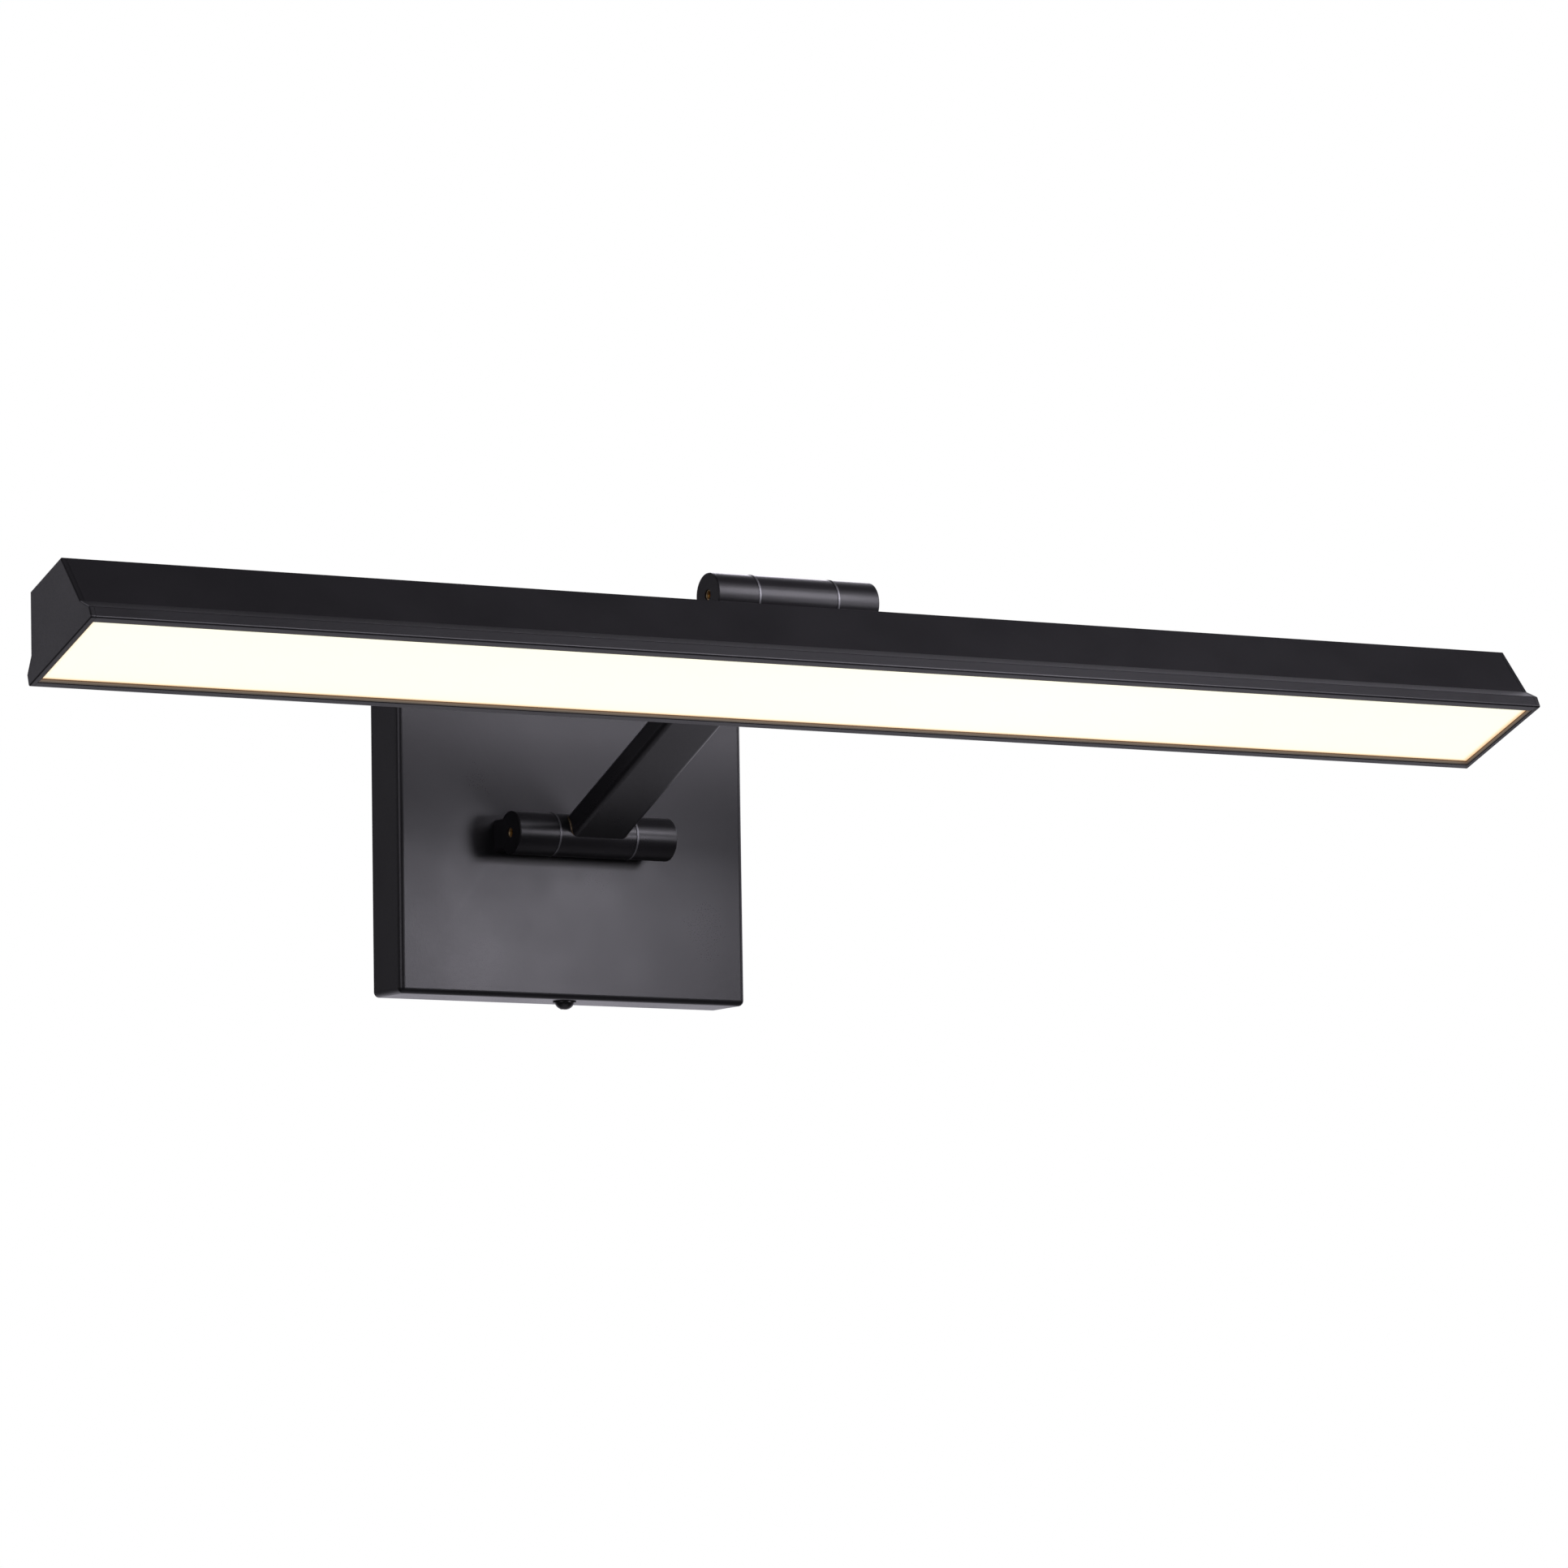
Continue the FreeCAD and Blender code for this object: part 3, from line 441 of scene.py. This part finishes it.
def painted_trim_reflection(name, colour):
    """Painted reflection of the lens's glow on the trim's inner wall: brown, amber towards the
    lens.
    """
    s = Shader(name)
    _, _, height = lens_axes(s)
    # Emission that paints the lens's warm light reflected on the trim's inner wall.
    glow = s.gradient(s.spread(height, (LIP_LOW, LIP_HIGH)), PAINTED_TRIM_REFLECTION)
    s.connect(glow, "Emission Color")
    s.set(Emission_Strength=1.0, Base_Color=colour)
    s.connect(s.spread(s.noise(scale=400.0, detail=2.0), (0.3, 0.7), (0.35, 0.45)), "Roughness")
    return s.material


def lit_chip(name, colour):
    """Yellow phosphor block that glows."""
    s = Shader(name)
    grain = s.noise(scale=3000.0, detail=2.0)
    s.connect(s.blend(s.spread(grain, (0.3, 0.7)), colour, shaded(colour, 0.8)), "Base Color")
    s.set(Emission_Color=(1.0, 0.82, 0.5), Emission_Strength=3.0, Roughness=0.35)
    s.connect(s.bump(grain, distance=0.00001, strength=0.5), "Normal")
    return s.material


def slot_materials():
    """One material for each slot in the record, from its maker, colour and other values."""
    finishes = {
        "black_coat": (powder_coat, COAT_COLOUR, 0.40),
        "black_coat_aluminium": (powder_coat, COAT_COLOUR, 0.42),
        "dark_screw": (turned_metal, (0.09, 0.088, 0.09), 0.34, (1.0, 1.0, 0.2)),
        "zinc_steel": (zinc_plate, (0.62, 0.63, 0.65)),
        "washer_steel": (turned_metal, (0.29, 0.29, 0.30), 0.52, (0.2, 1.0, 1.0)),
        "green_screw": (turned_metal, (0.05, 0.34, 0.12), 0.34, (1.0, 0.3, 1.0)),
        "tinned_metal": (zinc_plate, (0.70, 0.70, 0.71)),
        "brass": (turned_metal, (0.80, 0.58, 0.26), 0.24, (0.3, 1.0, 1.0)),
        "driver_case": (moulded_plastic, (0.78, 0.78, 0.76), 0.48),
        "terminal_plastic": (moulded_plastic, (0.80, 0.79, 0.72), 0.42),
        "foam": (foam, (0.06, 0.06, 0.062)),
        "soft_rubber": (moulded_plastic, (0.025, 0.025, 0.026), 0.62, 900.0),
        "lead_black": (wire_insulation, (0.02, 0.02, 0.021)),
        "lead_white": (wire_insulation, (0.78, 0.78, 0.75)),
        "lead_green": (wire_insulation, (0.05, 0.34, 0.10)),
        "opal_lens": (opal_lens, (0.74, 0.73, 0.69)),
        "white_tray": (powder_coat, (0.80, 0.80, 0.79), 0.38),
        "spacer_aluminium": (turned_metal, (0.7, 0.7, 0.72), 0.32, (1.0, 1.0, 0.3)),
        "board_white": (moulded_plastic, (0.80, 0.81, 0.79), 0.36, 2200.0),
        "led_yellow": (lit_chip, (0.90, 0.72, 0.22)),
    }
    return {slot: maker(slot, *values) for slot, (maker, *values) in finishes.items()}


def paint_nodes(frame, materials):
    """Gives every CAD node its slot's material."""
    for entry in frame["record"]["subparts"]:
        mesh = frame["nodes"][entry["node"]].data
        mesh.materials.clear()
        mesh.materials.append(materials[entry["material_slot"]])


# ---- Added pieces -------------------------------------------------------------------------------


def add_mesh(name, points, faces, material, body, smooth=True):
    """New mesh that rides with a body of the frame."""
    mesh = bpy.data.meshes.new(name)
    mesh.from_pydata(points, [], faces)
    mesh.materials.append(material)
    mesh.polygons.foreach_set("use_smooth", [smooth] * len(mesh.polygons))
    piece = bpy.data.objects.new(name, mesh)
    bpy.context.scene.collection.objects.link(piece)
    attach(piece, body)


def circle(count):
    """Cosine and sine at even steps round a circle."""
    turns = [2.0 * math.pi * k / count for k in range(count)]
    return [(math.cos(turn), math.sin(turn)) for turn in turns]


def ring_faces(rings, count, closed):
    """Quads between neighbouring rings of points; closed joins the last ring to the first."""
    pairs = [(i, i + 1) for i in range(rings - 1)]
    if closed:
        pairs.append((rings - 1, 0))
    return [
        (a * count + k, a * count + (k + 1) % count, b * count + (k + 1) % count, b * count + k)
        for a, b in pairs
        for k in range(count)
    ]


def weld_bead(name, centre, along, side, material):
    """Thin bead where a side of the arm's bar meets a barrel, tapering at both ends."""
    outward = Vector((side, 0.0, 0.0))
    across = Vector((1.0, 0.0, 0.0)).cross(along)
    points = []
    for i in range(WELD_STEPS + 1):
        t = 2.0 * i / WELD_STEPS - 1.0
        offset = WELD_REACH * t
        rounding = max(0.0, abs(offset) - (ARM_HALF_THICKNESS - ARM_EDGE_RADIUS))
        inset = ARM_EDGE_RADIUS - math.sqrt(ARM_EDGE_RADIUS**2 - rounding**2)
        height = math.sqrt(BARREL_RADIUS**2 - offset**2)
        middle = centre + along * height + across * offset
        middle.x = side * (ARM_HALF_WIDTH - inset)
        taper = math.sqrt(max(WELD_TAPER_FLOOR, 1.0 - t * t))
        radius = WELD_RADIUS * taper * (1.0 + WELD_RIPPLE * math.sin(WELD_RIPPLE_RATE * t))
        for cos, sin in circle(WELD_SIDES):
            points.append(middle + (along * cos + outward * sin) * radius)
    faces = ring_faces(WELD_STEPS + 1, WELD_SIDES, closed=False)
    faces.append(tuple(range(WELD_SIDES)))
    faces.append(tuple(range(WELD_STEPS * WELD_SIDES, (WELD_STEPS + 1) * WELD_SIDES)))
    add_mesh(name, points, faces, material, "arm")


def pin_collar(name, axis, side, material, body):
    """Small bright collar just inside the mouth of a barrel's access hole."""
    near, far = (side * (BARREL_HALF - depth) for depth in COLLAR_DEPTHS)
    profile = (
        (near, COLLAR_OUTER),
        (near, COLLAR_INNER + COLLAR_CHAMFER_WIDTH),
        (near - side * COLLAR_CHAMFER_DEPTH, COLLAR_INNER),
        (far, COLLAR_INNER),
        (far, COLLAR_OUTER),
    )
    points = [
        axis + Vector((x, radius * cos, radius * sin))
        for x, radius in profile
        for cos, sin in circle(COLLAR_SIDES)
    ]
    add_mesh(name, points, ring_faces(len(profile), COLLAR_SIDES, closed=True), material, body)


def trim_reflection_sheet(name, material):
    """Thin sheet round the inside of the lens's opening that carries a painted reflection of the
    lens's glow on the trim's inner wall.
    """
    middle, foot = lens_centre()
    along, across, up = head_axes()
    outer, inner = LIP_CLEARANCE, LIP_CLEARANCE + LIP_THICKNESS
    profile = ((outer, LIP_LOW), (inner, LIP_LOW), (inner, LIP_HIGH), (outer, LIP_HIGH))
    corners = ((-1, -1), (1, -1), (1, 1), (-1, 1))
    points = []
    for side_x, side_y in corners:
        for inset, height in profile:
            x = side_x * (LENS_OPEN_END - inset)
            y = side_y * (LENS_OPEN_HALF - inset)
            points.append(middle + along * x + across * y + up * (foot + height))
    faces = ring_faces(len(corners), len(profile), closed=True)
    add_mesh(name, points, faces, material, "head", smooth=False)


def add_pieces():
    """Weld beads with a painted warm sheen at both ends of the arm, collars in the four access
    holes, and the sheet with the painted reflection of the lens's glow round the lens's opening.
    """
    # The weld beads' bronze-brown colour is a painted warm sheen on the coated joint.
    weld = turned_metal("weld_painted_sheen", (0.26, 0.20, 0.13), 0.46, (1.0, 1.0, 1.0))
    collar = turned_metal("collar_brass", (0.86, 0.66, 0.38), 0.42, (0.3, 1.0, 1.0))
    up_arm = (UPPER_AXIS - LOWER_AXIS).normalized()
    for side, word in ((-1, "left"), (1, "right")):
        weld_bead(f"lower_weld_{word}", LOWER_AXIS, up_arm, side, weld)
        weld_bead(f"upper_weld_{word}", UPPER_AXIS, -up_arm, side, weld)
        pin_collar(f"lower_collar_{word}", LOWER_AXIS, side, collar, "wall_plate")
        pin_collar(f"upper_collar_{word}", UPPER_AXIS, side, collar, "head")
    # Thin sheet whose glow is a painted reflection of the lens's light on the trim's inner wall.
    trim_reflection_sheet("trim_reflection_sheet", painted_trim_reflection("painted_trim_reflection_sheet", PAINTED_SHEET_COLOUR))


# ---- Stage, light and camera --------------------------------------------------------------------


def make_floor(low):
    """Plain pale floor below the light."""
    z = low.z - FLOOR_DROP
    half = FLOOR_SIZE / 2
    corners = [(-half, -half, z), (half, -half, z), (half, half, z), (-half, half, z)]
    mesh = bpy.data.meshes.new("floor")
    mesh.from_pydata(corners, [], [(0, 1, 2, 3)])
    floor = bpy.data.objects.new("floor", mesh)
    bpy.context.scene.collection.objects.link(floor)
    s = Shader("floor_paint")
    s.connect(s.blend(s.noise(scale=3.0), *FLOOR_COLOURS), "Base Color")
    s.set(Roughness=0.7)
    mesh.materials.append(s.material)


def make_world():
    """White to the camera; as light, a dim dome that is bright behind and to the right."""
    world = bpy.data.worlds.new("studio")
    bpy.context.scene.world = world
    world.use_nodes = True
    nodes, links = world.node_tree.nodes, world.node_tree.links
    background = nodes["Background"]
    background.inputs["Color"].default_value = (1.0, 1.0, 1.0, 1.0)
    dome = nodes.new("ShaderNodeBackground")
    dome.inputs["Color"].default_value = (*STUDIO_TINT, 1.0)
    towards = nodes.new("ShaderNodeVectorMath")
    towards.operation = "DOT_PRODUCT"
    towards.inputs[1].default_value = Vector(DOME_MIDDLE).normalized()
    level = nodes.new("ShaderNodeMapRange")
    level.interpolation_type = "SMOOTHSTEP"
    limits = (*DOME_RANGE, *DOME_STRENGTH)
    for name, value in zip(("From Min", "From Max", "To Min", "To Max"), limits):
        level.inputs[name].default_value = value
    direction = nodes.new("ShaderNodeTexCoord").outputs["Generated"]
    links.new(direction, towards.inputs[0])
    links.new(towards.outputs["Value"], level.inputs["Value"])
    links.new(level.outputs["Result"], dome.inputs["Strength"])
    seen = nodes.new("ShaderNodeLightPath").outputs["Is Camera Ray"]
    mix = nodes.new("ShaderNodeMixShader")
    links.new(seen, mix.inputs["Fac"])
    links.new(dome.outputs["Background"], mix.inputs[1])
    links.new(background.outputs["Background"], mix.inputs[2])
    links.new(mix.outputs["Shader"], nodes["World Output"].inputs["Surface"])


def add_softbox(name, place, target, size, radiance, beam):
    """Soft rectangular lamp aimed at a point, unseen by the camera; beam is in degrees."""
    lamp = bpy.data.lights.new(name, "AREA")
    lamp.shape = "RECTANGLE"
    width, height = size
    lamp.size, lamp.size_y = width, height
    lamp.energy = radiance * math.pi * width * height
    lamp.color = STUDIO_TINT
    lamp.spread = math.radians(beam)
    light = bpy.data.objects.new(name, lamp)
    light.location = place
    aim = Vector(target) - Vector(place)
    light.rotation_euler = aim.to_track_quat("-Z", "Y").to_euler()
    light.visible_camera = False
    bpy.context.scene.collection.objects.link(light)


def make_lights():
    """Soft key at the front right, weaker boxes above and at the sides, and two behind."""
    for softbox in SOFTBOXES:
        add_softbox(*softbox)


def make_camera():
    """The scene's camera, turned by its yaw, pitch and roll."""
    data = bpy.data.cameras.new("camera")
    data.sensor_width = CAMERA_SENSOR_MM
    data.lens = CAMERA_LENS_MM
    data.shift_x, data.shift_y = CAMERA_SHIFT
    data.clip_start, data.clip_end = CAMERA_CLIP
    forward = Vector(
        (
            math.sin(CAMERA_YAW) * math.cos(CAMERA_PITCH),
            math.cos(CAMERA_YAW) * math.cos(CAMERA_PITCH),
            math.sin(CAMERA_PITCH),
        )
    )
    level = Vector((math.cos(CAMERA_YAW), -math.sin(CAMERA_YAW), 0.0))
    upright = level.cross(forward)
    right = level * math.cos(CAMERA_ROLL) + upright * math.sin(CAMERA_ROLL)
    up = upright * math.cos(CAMERA_ROLL) - level * math.sin(CAMERA_ROLL)
    turn = Matrix((right, up, -forward)).transposed()
    camera = bpy.data.objects.new("camera", data)
    camera.matrix_world = Matrix.Translation(CAMERA_PLACE) @ turn.to_4x4()
    bpy.context.scene.collection.objects.link(camera)
    bpy.context.scene.camera = camera


def main():
    """Builds the whole scene round the frame."""
    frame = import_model()
    cad_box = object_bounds()
    paint_nodes(frame, slot_materials())
    add_pieces()
    make_floor(cad_box[0])
    make_world()
    make_lights()
    make_camera()
    bpy.context.scene.view_settings.view_transform = "Standard"


main()
